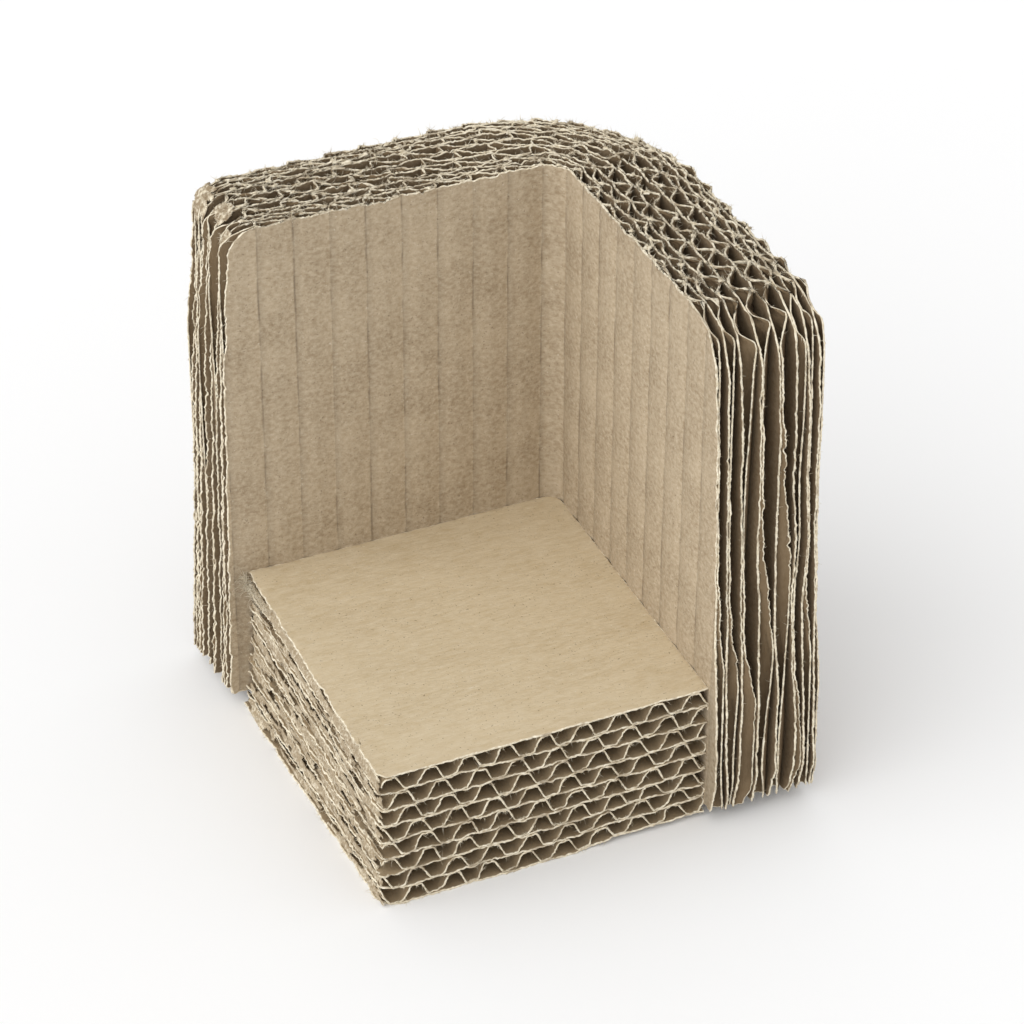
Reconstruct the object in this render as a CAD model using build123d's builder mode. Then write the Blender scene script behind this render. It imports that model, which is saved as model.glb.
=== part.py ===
from build123d import *
import os
from math import ceil, cos, radians, sin

# Cardboard corner protector: plies of single-faced corrugated board bent round a corner
# and glued together, with a glued pad of the same board closing the foot of the pocket.
# Millimetres, +Z up. Wall A runs along X, wall B along Y, and the pocket between them
# opens towards -X, -Y and +Z. The origin is the middle of the footprint, at floor level.

# Paper
liner_thickness = 0.4
fluting_thickness = 0.3

# Wrap: height, free ends and corners
wall_height = 110.0
wall_lift = 3.0
wall_a_foot = 73.6
wall_a_top = 69.6
wall_a_corner = 5.0
wall_b_foot = 76.7
wall_b_top = 68.4
wall_b_corner = 10.0

# Wrap: what each ply measures between the walls' faces, from the pocket outwards
ply_depths = (2.6, 2.6, 3.5, 3.8, 3.5, 2.3, 2.1, 1.9)
inner_bend_radius = 4.0
outer_bend_radius = 38.0
squeeze_a = 0.92
spread_b = 1.06

# Wrap fluting: shares of one pitch taken by the glued foot, the steep and the crest, and
# how far a foot stands off the bend, as a multiple of what the bend bulges under it
wrap_pitch = 7.6
wrap_foot_share = 0.34
wrap_steep_share = 0.08
wrap_crest_share = 0.08
bend_room = 1.4
wrap_phases = (0.7, 0.19, 0.79, 0.1, 0.67, 0.88, 0.91, 0.35)

# Pad: footprint, the corner that clears the bend, and rows of fluting from the floor up
pad_length = 69.5
pad_width = 71.3
pad_corner = inner_bend_radius + 0.2
pad_corner_flats = 3
pad_flute_height = 3.6
pad_pitch = 8.0
pad_foot_share = 0.33
pad_crest_share = 0.27
pad_phases = (0.22, 0.29, 0.56, 0.54, 0.31, 0.09, 0.91, 0.64)

pad_rows = len(pad_phases)
wrap_thickness = sum(ply_depths)
bend_growth = (outer_bend_radius - inner_bend_radius) / wrap_thickness
wall_a_run = max(wall_a_foot, wall_a_top) + 2 * wrap_pitch
wall_b_run = max(wall_b_foot, wall_b_top) + 2 * wrap_pitch
pad_height = pad_rows * (pad_flute_height + liner_thickness) + liner_thickness

# The pocket's corner, from the middle of the footprint
corner_x = (max(wall_a_foot, wall_a_top) - wrap_thickness * spread_b) / 2
corner_y = (max(wall_b_foot, wall_b_top) - wrap_thickness) / 2
wrap_plane = Plane((corner_x, corner_y, wall_lift))
wall_a_plane = Plane((corner_x, corner_y, wall_lift), x_dir=(1, 0, 0), z_dir=(0, -1, 0))
wall_b_plane = Plane((corner_x, corner_y, wall_lift), x_dir=(0, 1, 0), z_dir=(1, 0, 0))


def beside(points, distance):
    """Corners of the line that runs this far to the left of a bent line."""
    steps = [(ahead - here).normalized() for here, ahead in zip(points, points[1:])]
    normals = [Vector(-step.Y, step.X) for step in steps]
    corners = []
    for point, back, ahead in zip(points, normals[:1] + normals, normals + normals[-1:]):
        mitre = (back + ahead) * (1 / (1 + back.dot(ahead)))
        corners.append(point + mitre * distance)
    return corners


def ribbon(points, thickness):
    """Outline of a sheet of even thickness that follows a bent line."""
    return beside(points, thickness / 2) + beside(points, -thickness / 2)[::-1]


def sheet_line(depth, lift=0.0):
    """Line of a sheet's face, so deep behind the pocket: wall A, the bend, then wall B."""
    ends = [
        Vector(-wall_a_run, depth * squeeze_a),
        Vector(depth, depth),
        Vector(depth * spread_b, -wall_b_run),
    ]
    with BuildLine() as line:
        radius = inner_bend_radius + bend_growth * depth + lift
        FilletPolyline(*beside(ends, lift), radius=radius)
    return line.edges().sort_by(Axis((0, 0, 0), (1, -1, 0)))


def station(edges, distance):
    """Which edge of a line lies this far along it, and how far along that edge."""
    for index, edge in enumerate(edges):
        if distance <= edge.length:
            break
        distance -= edge.length
    return index, min(distance / edge.length, 1)


def flat(inner, face, start, end, side):
    """Ends of a flat of fluting glued to one side of a face, clear of the face's bulge."""
    steps = (start, (3 * start + end) / 4, (start + end) / 2, (start + 3 * end) / 4, end)
    places = [station(inner, step) for step in steps]
    spots = [face[index] @ share for index, share in places]
    chord = (spots[-1] - spots[0]).normalized()
    bulge = bend_room * max(abs((spot - spots[0]).cross(chord).Z) for spot in spots)
    ends = []
    for spot, (index, share) in zip(spots[::4], places[::4]):
        along = face[index] % share
        ends.append(spot + Vector(-along.Y, along.X) * side * (fluting_thickness / 2 + bulge))
    return ends


def fluting_line(inner, outer, phase):
    """Corners of one wrap fluting between the faces that its feet and crests are glued to."""
    foot = wrap_foot_share * wrap_pitch
    steep = wrap_steep_share * wrap_pitch
    crest = wrap_crest_share * wrap_pitch
    length = sum(edge.length for edge in inner)
    points = []
    start = phase * wrap_pitch
    while start + wrap_pitch < length:
        points += flat(inner, inner, start, start + foot, 1)
        points += flat(inner, outer, start + foot + steep, start + foot + steep + crest, -1)
        start += wrap_pitch
    return points


def cut_free_ends():
    """Trim both free ends of a wrap sheet: slanted cuts with rounded top corners."""
    reach = wall_a_run + wall_b_run
    top = wall_height
    ends = (
        (wall_a_plane, wall_a_foot, wall_a_top, wall_a_corner),
        (wall_b_plane, wall_b_foot, wall_b_top, wall_b_corner),
    )
    for plane, foot, head, corner in ends:
        with BuildSketch(plane) as keep:
            with BuildLine():
                Polyline((-foot, 0), (reach, 0), (reach, top), (-head, top), close=True)
            make_face()
            fillet(keep.vertices().group_by(Axis.Y)[-1].sort_by(Axis.X)[0], corner)
        extrude(keep.sketch, amount=reach, both=True, mode=Mode.INTERSECT)


def save(part, name):
    """Label a finished sheet and write it."""
    part.label = name
    export_step(part, f"parts/{name}.step")


os.makedirs("parts", exist_ok=True)

# Wrap
depth = 0.0
for ply, ply_depth in enumerate(ply_depths):
    pocket_face = sheet_line(depth)
    glued_face = sheet_line(depth, liner_thickness)
    next_face = sheet_line(depth + ply_depth)

    # Liner: the flat sheet on the pocket side of the ply
    with BuildPart() as liner:
        with BuildSketch(wrap_plane):
            with BuildLine():
                add(pocket_face)
                add(glued_face)
                Line(pocket_face[0] @ 0, glued_face[0] @ 0)
                Line(pocket_face[-1] @ 1, glued_face[-1] @ 1)
            make_face()
        extrude(amount=wall_height)
        cut_free_ends()
    save(liner.part, f"wrap_liner_{ply + 1}")

    # Fluting: the waved sheet on the liner's outer side
    with BuildPart() as fluting:
        with BuildSketch(wrap_plane):
            with BuildLine():
                corners = fluting_line(glued_face, next_face, wrap_phases[ply])
                Polyline(*ribbon(corners, fluting_thickness), close=True)
            make_face()
        extrude(amount=wall_height)
        cut_free_ends()
    save(fluting.part, f"wrap_fluting_{ply + 1}")
    depth += ply_depth


def cut_pad_corner():
    """Cut the pad's inner corner to short flats that clear the bend of the wrap."""
    turns = [radians(90 * flat / pad_corner_flats) for flat in range(pad_corner_flats + 1)]
    rounded = [(pad_corner * (sin(turn) - 1), pad_corner * (cos(turn) - 1)) for turn in turns]
    square = [(0, -pad_width), (-pad_length, -pad_width), (-pad_length, 0)]
    with BuildSketch(Plane((corner_x, corner_y, 0))) as keep:
        with BuildLine():
            Polyline(*rounded, *square, close=True)
        make_face()
    extrude(keep.sketch, amount=pad_height, mode=Mode.INTERSECT)


def pad_fluting_line(phase):
    """Corners of one pad fluting, from its glued feet up to its crests."""
    low = fluting_thickness / 2
    high = pad_flute_height - fluting_thickness / 2
    foot = pad_foot_share * pad_pitch
    crest = pad_crest_share * pad_pitch
    flank = (pad_pitch - foot - crest) / 2
    points = []
    for flute in range(-1, ceil(pad_length / pad_pitch) + 1):
        start = -pad_length + (flute + phase) * pad_pitch
        points.append(Vector(start, low))
        points.append(Vector(start + foot, low))
        points.append(Vector(start + foot + flank, high))
        points.append(Vector(start + foot + flank + crest, high))
    return points


# Pad, from the floor up: a liner, then a row of fluting under each further liner
for row in range(pad_rows + 1):
    base = row * (pad_flute_height + liner_thickness)
    with BuildPart() as liner:
        with BuildSketch(Plane((corner_x, corner_y, base))):
            Rectangle(pad_length, pad_width, align=(Align.MAX, Align.MAX))
        extrude(amount=liner_thickness)
        cut_pad_corner()
    name = {0: "pad_bottom_liner", pad_rows: "pad_top_liner"}.get(row, f"pad_liner_{row}")
    save(liner.part, name)
    if row == pad_rows:
        break
    with BuildPart() as fluting:
        row_foot = (corner_x, corner_y, base + liner_thickness)
        with BuildSketch(Plane(row_foot, x_dir=(1, 0, 0), z_dir=(0, -1, 0))):
            with BuildLine():
                corners = pad_fluting_line(pad_phases[row])
                Polyline(*ribbon(corners, fluting_thickness), close=True)
            make_face()
        extrude(amount=pad_width)
        cut_pad_corner()
    save(fluting.part, f"pad_fluting_{row + 1}")
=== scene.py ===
import math
import bmesh
import bpy
import numpy as np
from mathutils import Matrix, Vector


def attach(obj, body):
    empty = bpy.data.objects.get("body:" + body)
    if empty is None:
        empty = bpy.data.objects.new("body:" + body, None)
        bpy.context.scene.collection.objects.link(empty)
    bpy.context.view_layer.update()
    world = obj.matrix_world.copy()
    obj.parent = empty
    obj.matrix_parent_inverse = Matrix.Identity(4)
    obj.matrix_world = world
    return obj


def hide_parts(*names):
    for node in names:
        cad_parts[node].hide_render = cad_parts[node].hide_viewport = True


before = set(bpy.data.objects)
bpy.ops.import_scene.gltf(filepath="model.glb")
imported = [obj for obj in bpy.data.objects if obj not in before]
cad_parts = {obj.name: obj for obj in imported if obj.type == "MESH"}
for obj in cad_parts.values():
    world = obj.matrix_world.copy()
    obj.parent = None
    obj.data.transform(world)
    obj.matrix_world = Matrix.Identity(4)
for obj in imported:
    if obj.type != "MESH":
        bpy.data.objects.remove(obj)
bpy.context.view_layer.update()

# Cardboard corner protector: every sheet of paper of the wrap and of the pad is a mesh of
# its own, with torn rims and loose fibres, in place of its plain solid. Lengths in this
# script are millimetres until a mesh is written, and x, y and z start at the foot of the
# pocket's corner, as the frame of the solids does once it is moved there.

MM = 0.001

# Paper
liner_thickness = 0.4
fluting_thickness = 0.3

# Wrap
wall_height = 110.0
wall_lift = 3.0
wall_a_foot = 73.6
wall_b_foot = 76.7
ply_depths = (2.6, 2.6, 3.5, 3.8, 3.5, 2.3, 2.1, 1.9)
inner_bend_radius = 4.0
outer_bend_radius = 38.0
squeeze_a = 0.92
spread_b = 1.06
wrap_pitch = 7.6
wrap_foot_share = 0.34
wrap_steep_share = 0.08
wrap_crest_share = 0.08

# Pitch of the wrap's flutes on each wall and round the bend, and where one crest of each
# ply stands on wall A (x) and on wall B (y)
pitch_a = 7.5
pitch_b = 7.65
pitch_bend = 7.6
crests_a = (-25.7, -23.3, -25.9, -24.5, -26.8, -24.5, -24.6, -26.4)
crests_b = (-27.3, -27.8, -28.9, -26.7, -25.8, -30.0, -27.3, -27.8)

# Pad
pad_length = 69.5
pad_width = 71.3
pad_corner = 3.2
pad_rows = 8
pad_flute_height = 3.6
pad_pitch = 8.0
pad_foot_share = 0.33
pad_crest_share = 0.27
pad_phases = (0.22, 0.29, 0.56, 0.54, 0.31, 0.09, 0.91, 0.64)

plies = len(ply_depths)
pad_level = pad_flute_height + liner_thickness
wrap_thickness = sum(ply_depths)
face_depths = [sum(ply_depths[:ply]) for ply in range(plies + 1)]
bend_growth = (outer_bend_radius - inner_bend_radius) / wrap_thickness
wall_a_run = wall_a_foot + 2 * wrap_pitch
wall_b_run = wall_b_foot + 2 * wrap_pitch
corner = np.array(
    (
        (wall_a_foot - wrap_thickness * spread_b) / 2,
        (wall_b_foot - wrap_thickness) / 2,
        wall_lift,
    )
)


def fade(x):
    """Smooth step from 0 to 1."""
    x = np.clip(x, 0, 1)
    return x * x * (3 - 2 * x)


def noise(seed, x, y=0.0):
    """Smooth noise between -1 and 1, with a new value at each whole x and y."""
    size = 64
    grid = np.random.default_rng(seed).uniform(-1, 1, (size, size))
    x, y = np.broadcast_arrays(np.asarray(x, float), np.asarray(y, float))
    cell_x, cell_y = np.floor(x).astype(int), np.floor(y).astype(int)
    u, v = x - cell_x, y - cell_y
    u, v = u * u * (3 - 2 * u), v * v * (3 - 2 * v)
    x0, x1 = cell_x % size, (cell_x + 1) % size
    y0, y1 = cell_y % size, (cell_y + 1) % size
    low = grid[x0, y0] * (1 - u) + grid[x1, y0] * u
    high = grid[x0, y1] * (1 - u) + grid[x1, y1] * u
    return low * (1 - v) + high * v


def ragged(seed, x):
    """How far a torn edge strays at each place along it."""
    small = 0.13 * noise(seed, x / 0.5) + 0.12 * noise(seed + 1, x / 1.1)
    large = 0.2 * noise(seed + 2, x / 3.7)
    bites = -1.2 * np.clip(noise(seed + 3, x / 1.6) - 0.66, 0, 1)
    return small + large + bites


def unit(v):
    return v / np.maximum(np.linalg.norm(v, axis=-1, keepdims=True), 1e-9)


class WrapLine:
    """Line of the wrap at one depth behind the pocket: wall A, the bend, then wall B.

    q runs from 0 to 1 along wall A, to 2 round the bend and to 3 along wall B."""

    def __init__(self, depth):
        start = np.array((-wall_a_run, depth * squeeze_a))
        turn_point = np.array((depth, depth))
        end = np.array((depth * spread_b, -wall_b_run))
        self.ahead_a = unit(turn_point - start)
        self.ahead_b = unit(end - turn_point)
        turn = math.acos(float(self.ahead_a @ self.ahead_b))
        self.radius = inner_bend_radius + bend_growth * depth
        tangent = self.radius * math.tan(turn / 2)
        self.start = start
        self.bend_start = turn_point - self.ahead_a * tangent
        self.bend_end = turn_point + self.ahead_b * tangent
        self.normal_a = np.array((-self.ahead_a[1], self.ahead_a[0]))
        self.centre = self.bend_start - self.normal_a * self.radius
        self.turn = turn
        self.spans = np.array(
            (
                np.linalg.norm(self.bend_start - start),
                self.radius * turn,
                np.linalg.norm(end - self.bend_end),
            )
        )
        self.runs = np.concatenate(([0], np.cumsum(self.spans)))

    def q_at(self, run):
        """q at a length along the line."""
        return np.interp(run, self.runs, (0, 1, 2, 3))

    def run_at(self, q):
        """Length along the line at q."""
        return np.interp(q, (0, 1, 2, 3), self.runs)

    def run_at_x(self, x):
        """Length along the line where wall A reaches x."""
        return (x - self.start[0]) / self.ahead_a[0]

    def run_at_y(self, y):
        """Length along the line where wall B reaches y."""
        return self.runs[2] + (y - self.bend_end[1]) / self.ahead_b[1]

    def at(self, q):
        """Points and outward normals at q."""
        run = self.run_at(q)
        angle = np.clip((run - self.runs[1]) / self.radius, 0, self.turn)
        cos, sin = np.cos(angle), np.sin(angle)
        normal = np.stack(
            (
                self.normal_a[0] * cos + self.normal_a[1] * sin,
                -self.normal_a[0] * sin + self.normal_a[1] * cos,
            ),
            -1,
        )
        point = self.centre + normal * self.radius
        before = np.minimum(run - self.runs[1], 0)[..., None]
        after = np.maximum(run - self.runs[2], 0)[..., None]
        return point + before * self.ahead_a + after * self.ahead_b, normal


face_lines = [WrapLine(depth) for depth in face_depths]
middle_lines = [WrapLine((low + high) / 2) for low, high in zip(face_depths, face_depths[1:])]


def round_corner(z, radius):
    """How far a rounded top corner pulls a free end back at each height."""
    rise = np.clip((z - (wall_height - radius)) / radius, 0, 1)
    return radius * (1 - np.sqrt(np.maximum(1 - rise * rise, 0)))


def end_a(ply, z):
    """x of wall A's free end at each height."""
    outward = ply / (plies - 1)
    x = np.interp(z, (0, 79, 105, 110), (-73.6, -71.8, -70.2, -69.9))
    return x - outward * (1.0 * fade(1 - z / 60) - 0.8 * fade((z - 55) / 40)) + round_corner(z, 5.2)


def end_b(ply, z):
    """y of wall B's free end at each height."""
    heights = (0, 8, 25, 41, 62, 83, 93, 110)
    y = np.interp(z, heights, (-74.2, -76.2, -75.2, -72.8, -71.4, -70.5, -69.6, -68.5))
    return y + round_corner(z, 11.0)


def sway(face, q, z):
    """How far a face of the wrap strays outwards."""
    run = face_lines[face].run_at(q)
    slow = 0.22 * min(face, 1) * noise(100 + face, run / 9, z / 45)
    turned = np.sin(math.pi * np.clip(q - 1, 0, 1)) * max(0, 1 - face / 3)
    fold = turned * np.interp(z, (25, 60, 110), (0.5, 0.1, -0.4))
    low_end = face_lines[face].run_at_x(end_a(0, z * 0))
    high_end = face_lines[face].run_at_y(end_b(0, z * 0))
    near_a = fade(1 - (run - low_end) / 12)
    near_b = fade(1 - (high_end - run) / 14)
    loose = min(face, 1) * (0.3 * near_a + 0.75 * near_b)
    ends = 0.35 * fade(1 - (wall_height - z) / 2.5) + 0.2 * fade(1 - z / 3.0)
    curl = min(face, 1) * ends * noise(160 + face, run / 2.3, z / 3)
    return slow + fold + curl + loose * noise(140 + face, z / 15, 0.5)


def face_at(face, q, z):
    """Points and outward normals of a face of the wrap, with its sway."""
    point, normal = face_lines[face].at(q)
    point = point + normal * sway(face, q, z)[..., None]
    return np.concatenate((point, z[..., None]), -1), normal


class Flute:
    """One flute of a fluting as a smooth loop: how far along the pitch and how high."""

    def __init__(self, pitch, height, corners):
        corners = np.array(corners + ((1 + corners[0][0], corners[0][1]),))
        path = corners * (pitch, height)
        steps = np.linalg.norm(np.diff(path, axis=0), axis=1)
        self.length = steps.sum()
        count = 240
        at = np.linspace(0, self.length, count, endpoint=False)
        sums = np.concatenate(([0], np.cumsum(steps)))
        along = np.interp(at, sums, path[:, 0]) - at / self.length * pitch
        high = np.interp(at, sums, path[:, 1])
        reach = 0.32 / self.length * count
        offsets = np.arange(-20, 21)
        weights = np.exp(-((offsets / reach) ** 2) / 2)
        weights /= weights.sum()
        along = sum(weight * np.roll(along, offset) for offset, weight in zip(offsets, weights))
        high = sum(weight * np.roll(high, offset) for offset, weight in zip(offsets, weights))
        high = (high - high.min()) / (high.max() - high.min())
        self.share = np.append(at / self.length, 1)
        self.drift = np.append(along, along[0]) / pitch
        self.high = np.append(high, high[0])

    def at(self, number):
        """Where along the pitches, and how high, at each flute number."""
        share = number - np.floor(number)
        return number + np.interp(share, self.share, self.drift), np.interp(share, self.share, self.high)


# Loops round a sheet's rim, from the torn edge inwards: how far in each lies, how thick the
# paper is there and how far its colour is that of torn paper
rim_insets = (0.0, 0.1, 0.3)
rim_swells = (0.8, 0.9, 1.0)
rim_marks = (1.0, 0.7, 0.0)
grid_inset = 1.1
rim_step = 0.45


def subdivide(knots, step):
    """Fine places between knots, and which of them are the knots."""
    fine, where = [knots[0]], [0]
    for low, high in zip(knots, knots[1:]):
        count = max(1, math.ceil((high - low) / step))
        fine.extend(low + (high - low) * i / count for i in range(1, count + 1))
        where.append(len(fine) - 1)
    return np.array(fine), np.array(where)


def ball():
    """Points and triangles of a small ball, from which lumps of fluff are made."""
    built = bmesh.new()
    bmesh.ops.create_icosphere(built, subdivisions=2, radius=1)
    points = np.array([vertex.co for vertex in built.verts])
    triangles = np.array([[vertex.index for vertex in face.verts] for face in built.faces])
    built.free()
    return points, triangles


ball_points, ball_triangles = ball()


class Piece:
    """Vertices, faces and marks of one mesh, gathered from its parts."""

    def __init__(self):
        self.points, self.torn, self.flutes, self.painted_inner_shade = [], [], [], []
        self.quads, self.triangles = [], []
        self.count = 0

    def add(self, points, torn, flute=0.0, painted_inner_shade=0.0):
        """Add vertices and give the index of the first."""
        first = self.count
        self.points.append(points)
        self.torn.append(np.broadcast_to(torn, len(points)))
        self.flutes.append(np.broadcast_to(flute, len(points)))
        self.painted_inner_shade.append(np.broadcast_to(painted_inner_shade, len(points)))
        self.count += len(points)
        return first

    def add_sheet(self, place, length, height, columns, rows, thickness, seed, shaded_sides, swell=1.0):
        """Add a thin sheet with a torn rim. place gives centre points for (a, b), and a pair of flags
        says for both sides whether they face the board's interior, where the paper's colour carries
        painted shade."""
        a_knots, b_knots = np.asarray(columns) / length, np.asarray(rows) / height
        a_fine, a_where = subdivide(columns, rim_step)
        b_fine, b_where = subdivide(rows, rim_step)
        a_fine, b_fine = a_fine / length, b_fine / height

        def loop(inset):
            wide, tall = length - 2 * inset, height - 2 * inset
            sides = (
                (a_fine[:-1], np.zeros(len(a_fine) - 1)),
                (np.ones(len(b_fine) - 1), b_fine[:-1]),
                (a_fine[:0:-1], np.ones(len(a_fine) - 1)),
                (np.zeros(len(b_fine) - 1), b_fine[:0:-1]),
            )
            a = np.concatenate([side[0] for side in sides])
            b = np.concatenate([side[1] for side in sides])
            return inset + a * wide, inset + b * tall

        def shells(a, b, thick):
            centre, flute = place(a, b)
            gap = 0.06
            over = place(np.minimum(a + gap, length), b)[0] - place(np.maximum(a - gap, 0), b)[0]
            up = place(a, np.minimum(b + gap, height))[0] - place(a, np.maximum(b - gap, 0))[0]
            normal = unit(np.cross(over, up)) * (thick / 2)[..., None]
            return centre + normal, centre - normal, centre, flute

        rng = np.random.default_rng(seed)
        loops = []
        around = None
        for inset, widen, mark in zip(rim_insets, rim_swells, rim_marks):
            a, b = loop(inset)
            if around is None:
                around = np.arange(len(a)) * rim_step
                lumps = 1 + 0.3 * noise(seed + 31, around / 1.3) + 0.25 * noise(seed + 32, around / 0.6)
            thick = thickness * (1 + (widen * lumps * swell - 1) * mark)
            front, back, centre, flute = shells(a, b, thick)
            shake = rng.normal(0, 0.04, (2, len(a), 3)) * mark
            firsts = (
                self.add(front + shake[0], mark, flute, shaded_sides[0]),
                self.add(back + shake[1], mark, flute, shaded_sides[1]),
            )
            loops.append((*firsts, centre, flute))
        turn = len(around)
        ring = np.arange(turn)
        following = (ring + 1) % turn
        for outer, inner in zip(loops, loops[1:]):
            front = (ring + outer[0], following + outer[0], following + inner[0], ring + inner[0])
            back = (ring + inner[1], following + inner[1], following + outer[1], ring + outer[1])
            self.quads += [np.stack(front, 1), np.stack(back, 1)]
        outward = unit(loops[0][2] - loops[1][2])
        tip_reach = 0.06 + 0.1 * rng.random(turn)
        tip = self.add(loops[0][2] + outward * tip_reach[:, None], 1.0, loops[0][3])
        first, second = loops[0][0], loops[0][1]
        self.quads.append(np.stack((ring + tip, following + tip, following + first, ring + first), 1))
        self.quads.append(np.stack((ring + second, following + second, following + tip, ring + tip), 1))

        a, b = np.meshgrid(
            grid_inset + a_knots * (length - 2 * grid_inset),
            grid_inset + b_knots * (height - 2 * grid_inset),
            indexing="ij",
        )
        wide, tall = len(a_knots), len(b_knots)
        front, back, centre, flute = shells(a.ravel(), b.ravel(), np.full(a.size, thickness))
        grids = (self.add(front, 0.0, flute, shaded_sides[0]), self.add(back, 0.0, flute, shaded_sides[1]))
        i, j = np.meshgrid(np.arange(wide - 1), np.arange(tall - 1), indexing="ij")
        low = (i * tall + j).ravel()
        cells = np.stack((low, low + tall, low + tall + 1, low + 1), 1)
        self.quads.append(cells + grids[0])
        self.quads.append(cells[:, ::-1] + grids[1])

        a_steps, b_steps = len(a_fine) - 1, len(b_fine) - 1
        sides = (
            (a_where, [i * tall for i in range(wide)]),
            (a_steps + b_where, [(wide - 1) * tall + j for j in range(tall)]),
            (2 * a_steps + b_steps - a_where[::-1], [i * tall + tall - 1 for i in range(wide)][::-1]),
            (2 * a_steps + 2 * b_steps - b_where[::-1], list(range(tall))[::-1]),
        )
        fans = []
        for where, edge in sides:
            for f0, f1, c0, c1 in zip(where, where[1:], edge, edge[1:]):
                middle = (f0 + f1) // 2
                fans.extend((f, (f + 1) % turn, -1 - c0) for f in range(f0, middle))
                fans.append((middle % turn, -1 - c1, -1 - c0))
                fans.extend((f % turn, (f + 1) % turn, -1 - c1) for f in range(middle, f1))
        fans = np.array(fans)
        for shell in (0, 1):
            faces = np.where(fans >= 0, fans + loops[-1][shell], -1 - fans + grids[shell])
            self.triangles.append(faces if shell == 0 else faces[:, ::-1])

    def add_felt(self, place, across, along, kept, thickness, torn, painted_inner_shade):
        """Add a torn scrap: a sheet of small cells, of which only the kept ones are there."""
        a, b = np.meshgrid(across, along, indexing="ij")
        centre = place(a, b)
        wide, tall = a.shape
        over = np.gradient(centre, axis=0)
        up = np.gradient(centre, axis=1)
        normal = unit(np.cross(over, up)) * thickness / 2
        torn = np.broadcast_to(torn, a.shape).ravel()
        # Mask of painted shade for the scrap's sides.
        painted_inner_shade = np.broadcast_to(painted_inner_shade, a.shape).ravel()
        front = self.add((centre + normal).reshape(-1, 3), torn, 0.0, painted_inner_shade)
        back = self.add((centre - normal).reshape(-1, 3), torn, 0.0, painted_inner_shade)
        held = np.zeros((wide + 1, tall + 1), bool)
        held[1:-1, 1:-1] = kept(a[:-1, :-1], b[:-1, :-1])
        i, j = np.nonzero(held[1:-1, 1:-1])
        low = i * tall + j
        corners = (low, low + tall, low + tall + 1, low + 1)
        self.quads.append(np.stack(corners, 1) + front)
        self.quads.append(np.stack(corners[::-1], 1) + back)
        beside = ((0, -1, 0, 1), (1, 0, 1, 2), (0, 1, 2, 3), (-1, 0, 3, 0))
        for step_i, step_j, one, other in beside:
            edge = ~held[i + 1 + step_i, j + 1 + step_j]
            first, second = corners[one][edge], corners[other][edge]
            self.quads.append(np.stack((second + front, first + front, first + back, second + back), 1))

    def add_fibres(self, roots, directions, lengths, radius, seed, curl=0.45):
        """Add thin bent fibres that taper to a point."""
        rng = np.random.default_rng(seed)
        count = len(roots)
        if not count:
            return
        bend = rng.normal(0, curl, (count, 3))
        aside = unit(np.cross(directions, rng.normal(0, 1, (count, 3))))
        third = unit(np.cross(directions, aside))
        stations = []
        for share, thin in ((0.0, 1.0), (0.55, 0.8)):
            middle = roots + (directions * share + bend * share * share) * lengths[:, None]
            for turn in range(3):
                angle = turn * 2 * math.pi / 3
                wide = (aside * math.cos(angle) + third * math.sin(angle)) * (radius * thin)[:, None]
                stations.append(middle + wide)
        stations.append(roots + (directions + bend) * lengths[:, None])
        first = self.add(np.stack(stations, 1).reshape(-1, 3), 1.0)
        base = first + 7 * np.arange(count)[:, None]
        for turn in range(3):
            ahead = (turn + 1) % 3
            self.quads.append(base + (turn, ahead, 3 + ahead, 3 + turn))
            self.triangles.append(base + (3 + turn, 3 + ahead, 6))
        self.triangles.append(base + (2, 1, 0))

    def add_tufts(self, spots, sizes, seed):
        """Add lumps of torn fluff with fibres standing out of them."""
        rng = np.random.default_rng(seed)
        count = len(spots)
        if not count:
            return
        stretch = rng.uniform((0.5, 0.4, 0.25), (1.0, 0.8, 0.5), (count, 3))
        rough = 1 + 0.38 * rng.normal(0, 1, (count, len(ball_points), 1)).clip(-1.5, 1.5)
        lumps = ball_points[None] * rough * (stretch * sizes[:, None])[:, None]
        first = self.add((lumps + spots[:, None]).reshape(-1, 3), 1.0)
        base = first + len(ball_points) * np.arange(count)[:, None, None]
        self.triangles.append((base + ball_triangles[None]).reshape(-1, 3))
        each = 15
        out = unit(rng.normal(0, 1, (count, each, 3)) + np.array((0, 0, 0.2)))
        roots = (spots[:, None] + out * (sizes * 0.25)[:, None, None]).reshape(-1, 3)
        lengths = (sizes[:, None] * rng.uniform(0.7, 1.7, (count, each))).ravel()
        self.add_fibres(roots, out.reshape(-1, 3), lengths, np.full(len(roots), 0.055), seed + 1, 0.6)

    def add_curl(self, root, out, aside, radius, turn, thickness):
        """Add one long fibre that bends round an arc."""
        out = unit(np.asarray(out, float))
        aside = unit(np.asarray(aside, float) - out * (np.asarray(aside, float) @ out))
        third = np.cross(out, aside)
        steps = 14
        angles = np.linspace(0, turn, steps)
        lines = []
        for step, angle in enumerate(angles):
            middle = root + radius * (out * math.sin(angle) + aside * (1 - math.cos(angle)))
            inward = aside * math.cos(angle) - out * math.sin(angle)
            thin = thickness * (1 - 0.6 * step / steps)
            for side in range(3):
                spin = side * 2 * math.pi / 3
                lines.append(middle + (inward * math.cos(spin) + third * math.sin(spin)) * thin)
        first = self.add(np.array(lines), 1.0)
        for step in range(steps - 1):
            for side in range(3):
                ahead = (side + 1) % 3
                low = first + 3 * step
                self.quads.append(np.array([(low + side, low + ahead, low + 3 + ahead, low + 3 + side)]))
        last = first + 3 * (steps - 1)
        self.triangles.append(np.array([(first + 2, first + 1, first), (last, last + 1, last + 2)]))

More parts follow.
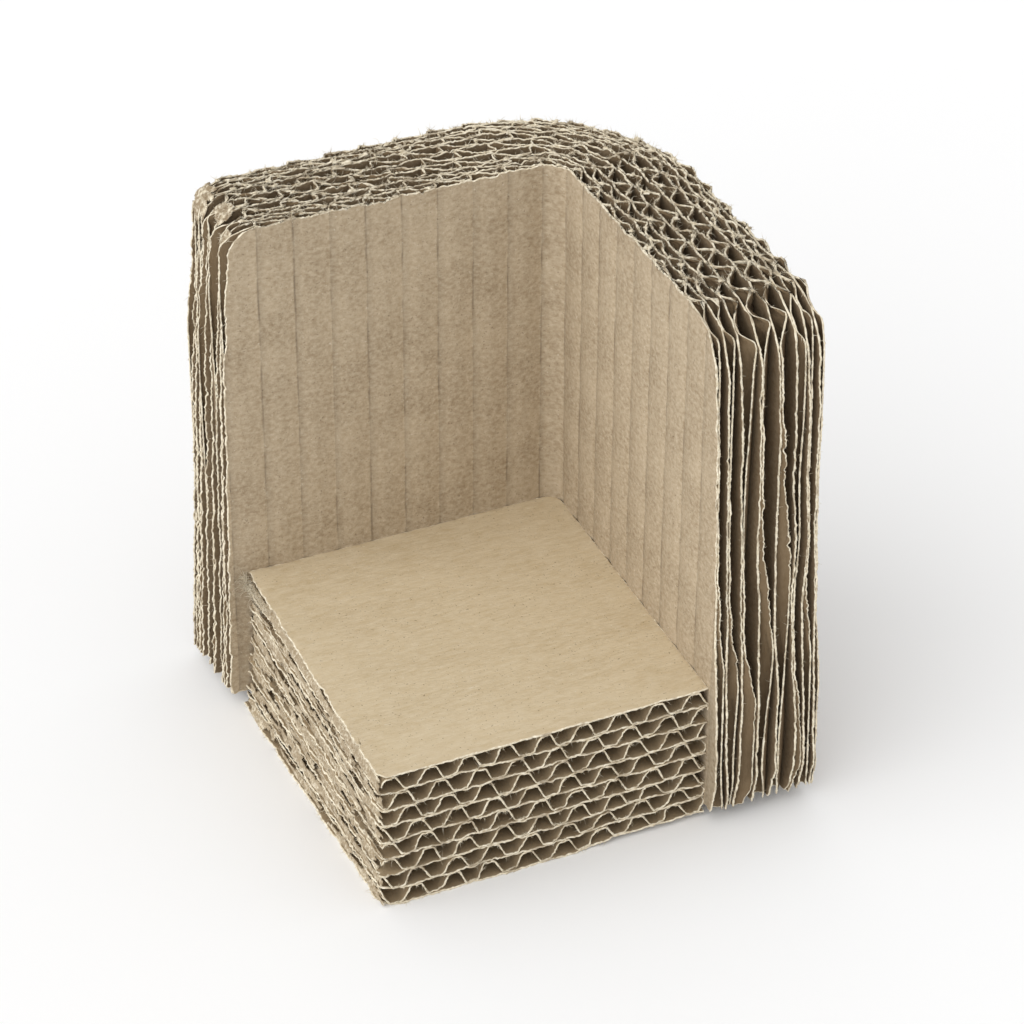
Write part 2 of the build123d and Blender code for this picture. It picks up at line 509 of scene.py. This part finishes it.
    def write(self, name, node, material):
        """Make the object, in metres in the frame of the solids, in place of its node."""
        points = np.concatenate(self.points) + corner
        points[:, 2] = np.maximum(points[:, 2], 0)
        quads = np.concatenate(self.quads)
        triangles = np.concatenate(self.triangles)
        mesh = bpy.data.meshes.new(name)
        mesh.vertices.add(len(points))
        mesh.vertices.foreach_set("co", (points * MM).astype(np.float32).ravel())
        corners = np.concatenate((quads.ravel(), triangles.ravel()))
        mesh.loops.add(len(corners))
        mesh.loops.foreach_set("vertex_index", corners.astype(np.int32))
        starts = np.concatenate(
            (np.arange(len(quads)) * 4, len(quads) * 4 + np.arange(len(triangles)) * 3)
        )
        mesh.polygons.add(len(starts))
        mesh.polygons.foreach_set("loop_start", starts.astype(np.int32))
        mesh.polygons.foreach_set("use_smooth", np.ones(len(starts), bool))
        # The third attribute is the mask of painted shade for the sides facing the board's interior.
        for label, values in (("torn", self.torn), ("flute", self.flutes), ("painted_inner_shade", self.painted_inner_shade)):
            layer = mesh.attributes.new(label, "FLOAT", "POINT")
            layer.data.foreach_set("value", np.concatenate(values).astype(np.float32))
        mesh.update(calc_edges=True)
        mesh.validate()
        mesh.materials.append(material)
        piece = bpy.data.objects.new(name, mesh)
        bpy.context.scene.collection.objects.link(piece)
        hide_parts(node)
        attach(piece, "root")
        slot = "fluting" if "fluting" in node else "liner"
        return piece


def even(length, step, lows=()):
    """Rows or columns from 0 to a length: chosen ones close to both ends, even ones between."""
    first = np.array((0.0,) + tuple(lows))
    last = length - first[::-1]
    count = max(1, round((last[0] - first[-1]) / step))
    return list(np.concatenate((first[:-1], np.linspace(first[-1], last[0], count + 1), last[1:])))


def flute_knots(ply):
    """Flute numbers along a ply's middle line, from the crests measured on both walls."""
    line = middle_lines[ply]
    crest = wrap_foot_share + wrap_steep_share + wrap_crest_share / 2
    run_a, run_b = line.run_at_x(crests_a[ply]), line.run_at_y(crests_b[ply])
    low = (run_a - line.runs[1]) / pitch_a
    high = (run_b - line.runs[2]) / pitch_b
    between = max(1, round((line.runs[2] - line.runs[1]) / pitch_bend - low + high))
    number_a, number_b = crest, crest + between
    runs = (0.0, line.runs[1], line.runs[2], line.runs[3])
    numbers = (
        number_a - run_a / pitch_a,
        number_a - low,
        number_b - high,
        number_b + (line.runs[3] - run_b) / pitch_b,
    )
    return np.array(runs), np.array(numbers) + 40


def wrap_liner(ply, material):
    """One flat sheet of the wrap."""
    seed = 1000 + 50 * ply
    line = face_lines[ply]
    runs, numbers = flute_knots(ply)
    length = line.run_at_y(end_b(ply, 60.0)) - line.run_at_x(end_a(ply, 60.0))

    def place(a, b):
        share = a / length
        low = line.run_at_x(end_a(ply, b))
        high = line.run_at_y(end_b(ply, b))
        run = low + (high - low) * share
        top = fade(1 - (wall_height - b) / 2.5)
        foot = fade(1 - b / 3.0)
        z = b + top * ragged(seed, run) + 0.8 * foot * ragged(seed + 5, run)
        run = run + fade(1 - (length - a) / 2.0) * ragged(seed + 9, b)
        run = run - fade(1 - a / 2.0) * ragged(seed + 14, b)
        q = line.q_at(run)
        point, normal = face_at(ply, q, z)
        number = np.interp(middle_lines[ply].run_at(q), runs, numbers)
        wash = 0.13 * np.cos(2 * math.pi * (number - 0.3))
        crease = 0.12 * np.exp(-((((number - 0.30 + 0.5) % 1 - 0.5) * wrap_pitch / 0.45) ** 2))
        out = liner_thickness / 2 + wash + crease
        point[..., :2] += normal * np.asarray(out)[..., None]
        return point, number

    piece = Piece()
    step = 0.6 if ply == 0 else 1.9
    columns, rows = even(length, step, (3.0, 6.0)), even(wall_height, 6.5, (3.5,))
    # Painted shade on the sides facing the board's interior: all but the pocket side of the first ply.
    shaded_sides = (0.0 if ply == 0 else 1.0, 1.0)
    piece.add_sheet(place, length, wall_height, columns, rows, liner_thickness, seed, shaded_sides)
    add_wrap_fibres(piece, place, length, seed)
    return piece.write(f"wrap_liner_sheet_{ply + 1}", f"wrap_liner_{ply + 1}", material)


def apart(spots, distance):
    """Those of the sorted spots that lie at least so far from the last one kept."""
    kept = [spots[0]]
    for spot in spots[1:]:
        if spot - kept[-1] > distance:
            kept.append(spot)
    return np.array(kept)


def wrap_fluting(ply, material):
    """One waved sheet of the wrap, between its own liner and the next."""
    seed = 2000 + 50 * ply
    line = middle_lines[ply]
    runs, numbers = flute_knots(ply)
    gap = ply_depths[ply] - liner_thickness - fluting_thickness
    foot, steep, crest = wrap_foot_share, wrap_steep_share, wrap_crest_share
    shape = ((0.0, 0.0), (foot, 0.0), (foot + steep, 1.0), (foot + steep + crest, 1.0))
    flute = Flute(wrap_pitch, gap, shape)

    def ends(z):
        low_run, high_run = line.run_at_x(end_a(ply, z)), line.run_at_y(end_b(ply, z))
        return np.interp(low_run, runs, numbers), np.interp(high_run, runs, numbers)

    low, high = ends(60.0)
    length = float(high - low) * flute.length
    rng = np.random.default_rng(seed)
    crush = rng.uniform(0.88, 1.0, 80)
    crush[rng.random(80) < 0.14] = 0.6
    lean = rng.uniform(-0.05, 0.05, 80)

    def place(a, b):
        low, high = ends(b)
        number = low + (high - low) * a / length
        top = fade(1 - (wall_height - b) / 2.5)
        base = fade(1 - b / 3.0)
        z = b + top * (0.1 + ragged(seed, a)) + 0.8 * base * ragged(seed + 5, a)
        edge = fade(1 - (length - a) / 2.0) * ragged(seed + 9, b)
        edge = edge - fade(1 - a / 2.0) * ragged(seed + 14, b)
        number = number + edge / flute.length
        along, lift = flute.at(number)
        whole = np.floor(number).astype(int)
        near_top = fade(1 - (wall_height - b) / 7.0)
        squash = crush[whole % 80] + 0.14 * near_top * noise(seed + 20, number * 1.1, z / 4)
        height = lift * np.clip(squash, 0.3, 1.0)
        shift = 0.06 * near_top * height * noise(seed + 24, number * 2.3, z / 2.5)
        along = along + lean[whole % 80] * height + shift
        run = np.interp(along, numbers, runs)
        q = line.q_at(run)
        inner, normal = face_at(ply, q, z)
        outer, _ = face_at(ply + 1, q, z)
        share = (liner_thickness + fluting_thickness / 2 + height * gap) / ply_depths[ply]
        point = inner + (outer - inner) * share[..., None]
        curl = (0.35 * top + 0.2 * base) * 4 * lift * (1 - lift) * noise(seed + 28, a / 1.9, z / 2)
        point[..., :2] += normal * curl[..., None]
        return point, number

    piece = Piece()
    rows = [0.0, 3.5, 9.0, 18.0, 30.0, 44.0, 58.0, 72.0, 84.0, 94.0, 101.0, 105.0, 107.6, 110.0]
    # Painted shade on both sides, except the outer side of the outermost fluting.
    shaded_sides = (1.0, 0.0 if ply == plies - 1 else 1.0)
    columns = even(length, 0.75)
    piece.add_sheet(place, length, wall_height, columns, rows, fluting_thickness, seed, shaded_sides, 1.15)
    add_wrap_fibres(piece, place, length, seed)

    # Fluff where crests and feet were glued, torn open along the top, and long curled fibres
    spots = np.sort(rng.uniform(0, length, 700))
    low, high = ends(wall_height - 1.0)
    lifts = flute.at(low + (high - low) * spots / length)[1]
    glued = apart(spots[(lifts > 0.9) | (lifts < 0.04)], 3.0)
    glued = glued[rng.random(len(glued)) < 0.7]
    roots, _ = place(glued, np.full(len(glued), wall_height - 0.1))
    sizes = rng.uniform(0.35, 0.7, len(glued))
    sizes[rng.random(len(glued)) < 0.3] *= 1.5
    piece.add_tufts(roots, sizes, seed + 60)
    for spot in rng.uniform(0, length, 5):
        root, _ = place(np.array([spot]), np.array([wall_height]))
        out, aside = rng.normal(0, 0.5, 3) + (0, 0, 1), rng.normal(0, 1, 3)
        piece.add_curl(root[0], out, aside, rng.uniform(0.5, 1.1), rng.uniform(1.6, 3.4), 0.045)
    add_end_scraps(piece, ply)
    return piece.write(f"wrap_fluting_sheet_{ply + 1}", f"wrap_fluting_{ply + 1}", material)


def add_end_scraps(piece, ply):
    """Torn scraps and a curled fibre on the plies' rounded corner at wall A's free end."""
    # Ply that carries the scrap, how deep behind the pocket it lies and how far round the
    # corner it reaches, in degrees up from the free end
    scraps = ((7, 14.5, 21.0, -20, 75), (5, 6.5, 12.5, 28, 84), (2, 1.5, 4.0, 5, 50))
    for owner, near, far, low, high in scraps:
        if owner != ply:
            continue

        def place(turn, depth):
            middle = wall_height - 5.2
            reach = 5.2 + 0.25 + 0.25 * noise(90 + ply, depth / 1.1, turn / 9)
            x = end_a(ply, middle) + 5.2 - reach * np.cos(np.radians(np.maximum(turn, 0)))
            z = middle + reach * np.sin(np.radians(turn))
            return np.stack((x, depth, z), -1)

        def kept(turn, depth):
            off_turn = (turn - (low + high) / 2) / (high - low)
            off_depth = (depth - (near + far) / 2) / (far - near)
            off = np.hypot(off_turn, off_depth)
            return off + 0.16 * noise(94 + ply, depth / 0.9, turn / 10) < 0.46

        across, along = np.arange(low, high, 3.6), np.arange(near, far, 0.3)
        rough = 0.55 + 0.2 * noise(97 + ply, along[None] / 0.7, across[:, None] / 6)
        piece.add_felt(place, across, along, kept, 0.2, rough, 0.0)
        rng = np.random.default_rng(98 + ply)
        spots = np.stack((rng.uniform(low, high, 60), rng.uniform(near, far, 60)))
        roots = place(*spots)[kept(*spots)]
        outs = unit(rng.normal(0, 1, (len(roots), 3)) + (-0.4, -0.2, 0.4))
        piece.add_fibres(roots, outs, rng.uniform(0.4, 1.2, len(roots)), np.full(len(roots), 0.045), 99)
    if ply == 4:
        piece.add_curl(np.array((-66.4, 9.6, 110.0)), (0.1, 0.2, 1.0), (1.0, 0.35, 0), 2.0, 3.0, 0.05)
        piece.add_curl(np.array((-63.6, 11.4, 110.2)), (0.4, -0.2, 0.8), (-1.0, 0.5, 0), 1.2, 3.6, 0.045)


def add_wrap_fibres(piece, place, length, seed):
    """Loose fibres along the torn top, foot and free ends of a wrap sheet."""
    rng = np.random.default_rng(seed + 40)
    counts = (int(length * 1.2), int(length * 0.2), 80, 60)
    outs = ((0, 0, 1.0), (0, 0, -1.0), (-1.0, 0, 0), (0, -1.0, 0))
    roots, directions, lengths = [], [], []
    for side, (count, out) in enumerate(zip(counts, outs)):
        spot = rng.random(count)
        if side < 2:
            a, b = spot * length, np.full(count, wall_height if side == 0 else 0.0)
        else:
            a, b = np.full(count, 0.0 if side == 2 else length), spot * wall_height
        point, _ = place(a, b)
        roots.append(point)
        directions.append(unit(np.array(out) * 0.6 + rng.normal(0, 0.8, (count, 3))))
        lengths.append(rng.uniform(0.3, 1.2, count) * (0.75 if side else 1.0))
    roots, directions, lengths = map(np.concatenate, (roots, directions, lengths))
    piece.add_fibres(roots, directions, lengths, np.full(len(roots), 0.04), seed + 41)


def pad_back(x):
    """y of the pad's back edge, rounded at the corner."""
    inward = np.clip((x + pad_corner) / pad_corner, 0, 1)
    return -pad_corner * (1 - np.sqrt(np.maximum(1 - inward * inward, 0)))


def pad_left(level, y):
    """x of the pad's left edge at each of its levels."""
    back = fade(1 + y / pad_width)
    low = 1 - level / pad_rows
    return -pad_length + back * (0.7 - 2.2 * low**3)


def pad_face_height(level, x, y):
    """Height of a face between the pad's rows, from the floor."""
    inner = 1.0 if 0 < level < pad_rows else 0.35
    wave = 0.2 * noise(300 + level, x / 6, y / 30) + 0.14 * noise(320 + level, x / 2.2, y / 20)
    tilt = 0.75 * fade(1 + y / pad_width) * (level / pad_rows) ** 2
    crush = 1.15 * fade((x + 28) / 9) * fade((-y - 30) / 20) * max(0, 1 - level / 3)
    return level * pad_level + inner * wave + tilt + crush


def pad_liner(level, material):
    """One flat sheet of the pad: 0 lies on the floor, the last is the top."""
    seed = 5000 + 50 * level
    top = level == pad_rows

    def place(a, b):
        y_flat = -pad_width + b
        x = pad_left(level, y_flat) * (1 - a / pad_length)
        left = fade(1 - a / 2.0) * ragged(seed, b)
        front = fade(1 - b / 2.0) * ragged(seed + 5, a) * (0.5 if top else 1.0)
        worn = 2.6 if top else 1.2 + 3.3 * max(0, 1 - level / 2)
        to_front = np.clip(1 - b / worn, 0, 1)
        left = left - fade(1 - a / 5) * worn * (1 - np.sqrt(1 - to_front**2))
        y = -pad_width + b * (pad_width + pad_back(x)) / pad_width
        z = pad_face_height(level, x, y) + liner_thickness / 2 - wall_lift
        rim = np.maximum(fade(1 - a / 1.5), fade(1 - b / 1.5))
        z = z + 0.2 * rim * noise(seed + 9, (a + b) / 1.5) * (0.4 if top or level == 0 else 1.0)
        return np.stack((x - left, y - front, z), -1), a * 0

    piece = Piece()
    columns, rows = even(pad_length, 2.5, (3.0,)), even(pad_width, 5.0, (3.0,))
    # Painted shade on the sides facing the board's interior: not on the top of the top sheet nor on the
    # underside of the bottom one.
    shaded_sides = (0.0 if top else 1.0, 0.0 if level == 0 else 1.0)
    piece.add_sheet(place, pad_length, pad_width, columns, rows, liner_thickness, seed, shaded_sides)
    add_pad_fibres(piece, place, pad_length, seed)
    if top:
        add_corner_fuzz(piece)
    node = {0: "pad_bottom_liner", pad_rows: "pad_top_liner"}.get(level, f"pad_liner_{level}")
    return piece.write(f"{node}_sheet", node, material)


def pad_fluting(row, material):
    """One waved sheet of the pad, counted from the floor."""
    seed = 6000 + 50 * row
    gap = pad_flute_height - fluting_thickness
    flank = (1 - pad_foot_share - pad_crest_share) / 2
    foot = pad_foot_share
    flute = Flute(pad_pitch, gap, ((0.0, 0.0), (foot, 0.0), (foot + flank, 1.0), (1 - flank, 1.0)))
    start = -pad_phases[row] + 30
    length = pad_length / pad_pitch * flute.length
    rng = np.random.default_rng(seed)
    lean = rng.uniform(-0.04, 0.04, 80)

    def place(a, b):
        number = start + a / flute.length
        along, lift = flute.at(number)
        whole = np.floor(number).astype(int)
        left = fade(1 - a / 2.0) * ragged(seed, b)
        front = fade(1 - b / 2.0) * ragged(seed + 5, a)
        share = np.clip((along - start + lean[whole % 80] * lift) * pad_pitch / pad_length, 0, 1)
        x = pad_left(row + 0.5, b - pad_width) * (1 - share)
        y = -pad_width + b * (pad_width + pad_back(x)) / pad_width
        low = pad_face_height(row, x, y) + liner_thickness
        high = pad_face_height(row + 1, x, y)
        z = low + (high - low) * (fluting_thickness / 2 + lift * gap) / pad_flute_height - wall_lift
        return np.stack((x - left, y - front, z), -1), number

    piece = Piece()
    rows = [0.0, 2.6, 5.0, 9.0, 16.0, 28.0, 44.0, 60.0, pad_width]
    # Painted shade on both sides of the pad's flutings.
    piece.add_sheet(
        place, length, pad_width, even(length, 0.66), rows, fluting_thickness, seed, (1.0, 1.0), 1.2
    )
    add_pad_fibres(piece, place, length, seed)
    add_pad_side(piece, row, seed)

    # Fluff where crests and feet were glued, torn open along the front
    spots = rng.uniform(0, length, 200)
    lifts = flute.at(start + spots / flute.length)[1]
    glued = spots[(lifts > 0.93) | (lifts < 0.03)][:14]
    roots, _ = place(glued, np.zeros(len(glued)))
    piece.add_tufts(roots, rng.uniform(0.2, 0.42, len(glued)), seed + 60)
    return piece.write(f"pad_fluting_sheet_{row + 1}", f"pad_fluting_{row + 1}", material)


def add_pad_side(piece, row, seed):
    """Torn strip of a pad row's fluting along its left side, full of holes."""
    top = row == pad_rows - 1
    thin = row == pad_rows - 2

    def place(y, share):
        level = row + share
        x = pad_left(level, y)
        low = pad_face_height(row, x, y) + liner_thickness
        high = pad_face_height(row + 1, x, y)
        z = low + (high - low) * share - wall_lift
        bulge = 0.3 * noise(seed + 70, y / 6, share * 3) + 0.2 * noise(seed + 71, y / 1.6, share * 8)
        if top:
            round_off = np.sin(math.pi * np.clip(share / 0.62, 0, 1))
            bulge = bulge * fade((share - 0.5) / 0.15) - 0.55 * round_off
        z = z + 0.1 * noise(seed + 72, y / 0.9, share * 5)
        return np.stack((x + 0.35 + bulge, y, z), -1)

    def kept(y, share):
        hole = noise(seed + 73, y / 6.5, share * 3.6) + 0.45 * noise(seed + 74, y / 1.5, share * 6)
        limit = 0.28 - 0.6 * fade((share - 0.5) / 0.3)
        if top:
            limit = np.where(share < 0.6, 9.0, 0.15)
        if thin:
            limit = np.where(share > 0.45, -0.5, 0.25)
        return hole < limit

    across = np.arange(-pad_width + 0.4, -1.2, 0.5)
    along = np.linspace(0.0, 1.0, 9)
    torn = np.interp(along, (0.0, 0.2, 0.5, 0.8, 1.0), (0.7, 0.5, 0.45, 0.5, 0.75))
    piece.add_felt(place, across, along, kept, 0.22, torn[None], 0.0)


def add_pad_fibres(piece, place, length, seed):
    """Loose fibres along the pad's front and left edges."""
    rng = np.random.default_rng(seed + 40)
    roots, directions = [], []
    for side, count in enumerate((int(length * 1.1), 130)):
        spot = rng.random(count)
        zero = np.zeros(count)
        point, _ = place(spot * length, zero) if side == 0 else place(zero, spot * pad_width)
        out = np.array((0, -1.0, 0)) if side == 0 else np.array((-1.0, 0, 0))
        roots.append(point)
        directions.append(unit(out * 0.6 + rng.normal(0, 0.8, (count, 3))))
    roots, directions = np.concatenate(roots), np.concatenate(directions)
    lengths = rng.uniform(0.3, 1.1, len(roots))
    piece.add_fibres(roots, directions, lengths, np.full(len(roots), 0.04), seed + 41)


def add_corner_fuzz(piece):
    """White fuzz between wall A and the back of the pad's left side."""
    rng = np.random.default_rng(77)
    count = 480
    along = rng.random(count) ** 1.7
    roots = np.stack((-69.7 + 0.4 * along, -0.8 - 12 * along, 30.0 - 3.2 * rng.random(count)), -1)
    directions = unit(np.array((-0.6, 0.0, 0.2)) + rng.normal(0, 0.7, (count, 3)))
    lengths = rng.uniform(0.5, 1.8, count) * (1 - 0.5 * along)
    piece.add_fibres(roots, directions, lengths, np.full(count, 0.035), 78, 1.1)
    for height, reach in ((26.6, 1.9), (27.6, 1.2), (28.9, 1.5)):
        thread = np.array((-69.4, -0.9, height))
        piece.add_curl(thread, (-0.5, 0.0, 1.0), (-1.0, 0.0, -0.3), reach, 2.2, 0.07)


class Nodes:
    """Short way to write a material's nodes."""

    def __init__(self, name):
        self.material = bpy.data.materials.new(name)
        self.material.use_nodes = True
        self.tree = self.material.node_tree
        self.shader = self.tree.nodes["Principled BSDF"]
        self.place = self.tree.nodes.new("ShaderNodeTexCoord").outputs["Object"]

    def node(self, kind, inputs=(), **settings):
        made = self.tree.nodes.new(kind)
        for key, value in settings.items():
            setattr(made, key, value)
        for key, value in dict(inputs).items():
            self.join(value, made.inputs[key])
        return made

    def join(self, value, socket):
        if isinstance(value, bpy.types.NodeSocket):
            self.tree.links.new(value, socket)
        else:
            socket.default_value = value

    def math(self, operation, *values):
        return self.node("ShaderNodeMath", enumerate(values), operation=operation).outputs[0]

    def noise(self, scale, detail=2.0, rough=0.5, stretch=(1, 1, 1)):
        moved = self.node("ShaderNodeMapping", {"Vector": self.place, "Scale": stretch}).outputs[0]
        inputs = {"Vector": moved, "Scale": scale, "Detail": detail, "Roughness": rough}
        return self.node("ShaderNodeTexNoise", inputs).outputs["Fac"]

    def span(self, value, low, high, to_low=0.0, to_high=1.0):
        inputs = {"Value": value, "From Min": low, "From Max": high, "To Min": to_low, "To Max": to_high}
        return self.node("ShaderNodeMapRange", inputs).outputs[0]

    def mix(self, share, first, second, blend="MIX"):
        made = self.node("ShaderNodeMix", data_type="RGBA", blend_type=blend)
        self.join(share, made.inputs[0])
        self.join(first, made.inputs[6])
        self.join(second, made.inputs[7])
        return made.outputs[2]

    def attribute(self, name):
        return self.node("ShaderNodeAttribute", attribute_name=name).outputs["Fac"]


def shade(red, green, blue):
    """Linear colour of an sRGB colour given in 0 to 255."""
    values = [((v / 255 + 0.055) / 1.055) ** 2.4 for v in (red, green, blue)]
    return (*values, 1.0)


def paper(name, base, dark, light, inner, grain=(1, 1, 1), lines=False, roughness=0.88):
    """Paper with clouded pulp, fibres and specks, painted shade in the colour inner on the sides that
    face the board's interior, and pale torn rims.
    """
    n = Nodes(name)
    clouds = n.noise(110, 3.0, 0.6, grain)
    pulp = n.noise(1100, 3.0, 0.7, grain)
    colour = n.mix(n.span(clouds, 0.32, 0.68), dark, base)
    colour = n.mix(n.span(pulp, 0.3, 0.75, 0.0, 0.9), colour, light)
    specks = n.span(n.noise(2600, 1.0, 0.4), 0.70, 0.76)
    colour = n.mix(n.math("MULTIPLY", specks, 0.6), colour, shade(84, 66, 46))
    pale = n.span(n.noise(2100, 1.0, 0.4), 0.735, 0.775)
    colour = n.mix(n.math("MULTIPLY", pale, 0.5), colour, shade(222, 214, 196))
    if lines:
        share = n.math("FRACT", n.math("ADD", n.attribute("flute"), 0.70))
        near = n.math("ABSOLUTE", n.math("SUBTRACT", share, 0.5))
        line = n.span(near, 0.45, 0.498)
        broken = n.span(n.noise(420, 3.0, 0.65, (1, 1, 0.22)), 0.47, 0.62)
        marked = n.math("MULTIPLY", n.math("MULTIPLY", line, broken), 0.55)
        colour = n.mix(marked, colour, shade(84, 68, 50))
        # Painted shade and painted highlight: a band darker just after each glue line and lighter before
        # the next, standing for the light on the washboard relief.
        after, before = n.span(share, 0.0, 0.24, 0.86, 1.0), n.span(share, 0.55, 1.0, 1.0, 1.07)
        washboard_shade = n.math("MULTIPLY", after, before)
        washboard_shade_colour = n.node("ShaderNodeCombineColor", {0: washboard_shade, 1: washboard_shade, 2: washboard_shade}).outputs[0]
        colour = n.mix(1.0, colour, washboard_shade_colour, "MULTIPLY")
    # Painted shade: sides marked as facing the board's interior take a darker colour, with some pulp
    # flecks, in place of lit paper.
    inner_shade_tone = n.mix(n.span(pulp, 0.3, 0.75), inner, light)
    inner_shade_tone = n.mix(0.8, inner_shade_tone, inner)
    colour = n.mix(n.attribute("painted_inner_shade"), colour, inner_shade_tone)
    fray = n.span(n.noise(1500, 2.0, 0.6), 0.3, 0.7, -0.22, 0.22)
    torn = n.math("ADD", n.attribute("torn"), fray)
    rim = n.mix(n.span(n.noise(1200, 2.0, 0.6), 0.3, 0.7), shade(246, 237, 216), shade(208, 194, 166))
    rim = n.mix(n.span(n.noise(330, 2.0, 0.5), 0.54, 0.64, 0.0, 0.5), rim, shade(150, 131, 104))
    colour = n.mix(n.span(torn, 0.44, 0.8), colour, rim)
    n.join(colour, n.shader.inputs["Base Color"])
    n.shader.inputs["Roughness"].default_value = roughness
    n.shader.inputs["Specular IOR Level"].default_value = 0.25
    relief = n.math("ADD", n.math("MULTIPLY", pulp, 0.6), n.noise(2400, 2.0, 0.6, grain))
    bump = n.node("ShaderNodeBump", {"Strength": 0.4, "Distance": 0.0002, "Height": relief})
    n.join(bump.outputs[0], n.shader.inputs["Normal"])
    return n.material


def floor():
    """Wide pale floor under the part."""
    mesh = bpy.data.meshes.new("floor")
    reach = 3.0
    mesh.from_pydata(
        [(-reach, -reach, 0), (reach, -reach, 0), (reach, reach, 0), (-reach, reach, 0)],
        [],
        [(0, 1, 2, 3)],
    )
    ground = bpy.data.objects.new("floor", mesh)
    bpy.context.scene.collection.objects.link(ground)
    material = bpy.data.materials.new("floor")
    material.use_nodes = True
    shader = material.node_tree.nodes["Principled BSDF"]
    shader.inputs["Base Color"].default_value = (0.92, 0.92, 0.92, 1)
    shader.inputs["Roughness"].default_value = 0.9
    mesh.materials.append(material)


def camera():
    """Camera at the photograph's place, with a plain unshifted lens."""
    azimuth, elevation, roll = math.radians(-24.38), math.radians(35.20), math.radians(0.34)
    distance, focal_px, image = 0.742, 3721.0, 1024
    foot = Vector(corner * MM)
    target = foot + Vector((-0.020, -0.025, 0.050))
    aside, rise = 6.4 / focal_px * distance, -11.2 / focal_px * distance
    ahead = Vector(
        (
            -math.sin(azimuth) * math.cos(elevation),
            math.cos(azimuth) * math.cos(elevation),
            -math.sin(elevation),
        )
    )
    level = Vector((math.cos(azimuth), math.sin(azimuth), 0))
    above = level.cross(ahead)
    right = level * math.cos(roll) + above * math.sin(roll)
    up = above * math.cos(roll) - level * math.sin(roll)
    place = target - distance * ahead - right * aside + up * rise
    data = bpy.data.cameras.new("camera")
    data.sensor_width = 36
    data.lens = focal_px / image * data.sensor_width
    data.clip_start = 0.01
    eye = bpy.data.objects.new("camera", data)
    bpy.context.scene.collection.objects.link(eye)
    turned = Matrix((right, up, -ahead)).transposed().to_4x4()
    eye.matrix_world = Matrix.Translation(place) @ turned
    bpy.context.scene.camera = eye


def studio():
    """White surroundings and one wide soft light from the left, a little to the front."""
    world = bpy.data.worlds.new("studio")
    bpy.context.scene.world = world
    world.use_nodes = True
    sky = world.node_tree.nodes["Background"]
    sky.inputs["Color"].default_value = (1, 1, 1, 1)
    sky.inputs["Strength"].default_value = 0.8
    data = bpy.data.lights.new("key", "SUN")
    data.energy = 1.6
    data.angle = math.radians(80)
    light = bpy.data.objects.new("key", data)
    bpy.context.scene.collection.objects.link(light)
    light.matrix_world = Vector((0.9, 0.3, -0.72)).to_track_quat("-Z", "Y").to_matrix().to_4x4()
    bpy.context.scene.view_settings.view_transform = "Standard"


camera()
floor()
studio()

# Colours of the painted shade on the interior sides of the wrap and of the pad.
wrap_inner_shade = shade(116, 97, 72)
pad_inner_shade = shade(148, 129, 101)
wall_paper = paper(
    "wall_paper",
    shade(168, 150, 124),
    shade(144, 125, 99),
    shade(197, 182, 158),
    wrap_inner_shade,
    (0.8, 0.8, 1.1),
    lines=True,
)
fluting_paper = paper(
    "fluting_paper", shade(142, 124, 98), shade(128, 110, 86), shade(160, 143, 118), wrap_inner_shade, (1, 1, 0.5)
)
pad_paper = paper("pad_paper", shade(158, 141, 114), shade(142, 124, 98), shade(180, 164, 138), pad_inner_shade)
top_paper = paper(
    "top_paper",
    shade(201, 183, 150),
    shade(190, 171, 137),
    shade(213, 198, 170),
    pad_inner_shade,
    (0.3, 1, 1),
    roughness=0.5,
)

for ply in range(plies):
    wrap_liner(ply, wall_paper)
    wrap_fluting(ply, fluting_paper)
for level in range(pad_rows + 1):
    pad_liner(level, top_paper if level == pad_rows else pad_paper)
for row in range(pad_rows):
    pad_fluting(row, pad_paper)
